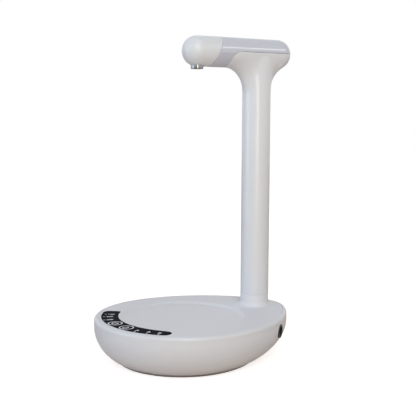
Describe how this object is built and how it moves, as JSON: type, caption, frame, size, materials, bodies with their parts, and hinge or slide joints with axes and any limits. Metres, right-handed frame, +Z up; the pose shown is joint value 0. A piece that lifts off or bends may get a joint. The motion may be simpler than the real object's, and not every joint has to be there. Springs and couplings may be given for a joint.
{
  "type": "electric water jug pump",
  "caption": "Table-top electric water pump: egg-shaped base with a cup platform and curved touch panel, and a swivelling column with a spout arm.",
  "frame": {"origin": "on the table, on the cup platform's centre line, at the underside of the anti-slip pad", "axes": "+Z up along the column, -Y towards the control panel, +Y towards the column, +X towards the hose port"},
  "size_m": [0.168, 0.2069, 0.3059],
  "materials": {
    "white_shell": "satin white moulding",
    "black_panel": "gloss black window",
    "polished_steel": "polished stainless steel",
    "pad_rubber": "matte dark rubber",
    "black_plastic": "satin black moulding",
    "grey_plastic": "plain grey moulding",
    "nylon": "natural nylon",
    "silicone": "clear silicone hose",
    "seal_rubber": "black seal rubber",
    "zinc_steel": "zinc-plated steel",
    "board": "green circuit board",
    "foam": "conductive foam",
    "cell_wrap": "blue sleeve on a steel cell",
    "magnet": "ferrite magnet",
    "winding": "enamelled copper winding on a steel core"
  },
  "bodies": {
    "base": {"base_bowl": "white_shell", "top_cover": "white_shell", "control_panel": "black_panel", "control_board": "board", "touch_pads": "foam", "board_screws": "zinc_steel", "anti_slip_pad": "pad_rubber", "base_screws": "zinc_steel", "battery_cell": "cell_wrap", "battery_cradle": "grey_plastic", "charging_board": "board", "charging_socket": "zinc_steel", "motor_can": "zinc_steel", "motor_end_cap": "nylon", "motor_magnets": "magnet", "pump_body": "grey_plastic", "pump_cover": "grey_plastic", "pump_screws": "zinc_steel", "idler_pin": "zinc_steel", "motor_clamp": "grey_plastic", "clamp_screws": "zinc_steel", "hose_port": "black_plastic", "port_nut": "grey_plastic", "port_seal": "seal_rubber", "suction_hose": "silicone", "delivery_hose": "silicone", "swivel_union": "grey_plastic", "union_seal": "seal_rubber"},
    "column": {"column_shell": "white_shell", "lock_ring": "grey_plastic", "riser_pipe": "nylon", "riser_guides": "grey_plastic", "arm_cover": "white_shell", "nose_cap": "white_shell", "spout_nozzle": "polished_steel", "nozzle_seal": "seal_rubber", "outlet_elbow": "grey_plastic", "arm_hose": "silicone"},
    "rotor": {"motor_armature": "winding", "drive_gear": "nylon"},
    "idler": {"idler_gear": "nylon"}
  },
  "joints": [
    {"name": "column_swivel", "type": "hinge", "parent": "base", "child": "column", "pos_m": [0, 0.085, 0.054], "axis": [0, 0, 1], "range_deg": [-90, 90]},
    {"name": "rotor_spin", "type": "hinge", "parent": "base", "child": "rotor", "pos_m": [0.028, 0, 0.02015], "axis": [0, 1, 0], "continuous": true},
    {"name": "idler_spin", "type": "hinge", "parent": "base", "child": "idler", "pos_m": [0.017, 0, 0.02015], "axis": [0, 1, 0], "continuous": true}
  ],
  "couplings": [
    {"joint": "idler_spin", "follows": "rotor_spin", "ratio": -1}
  ]
}
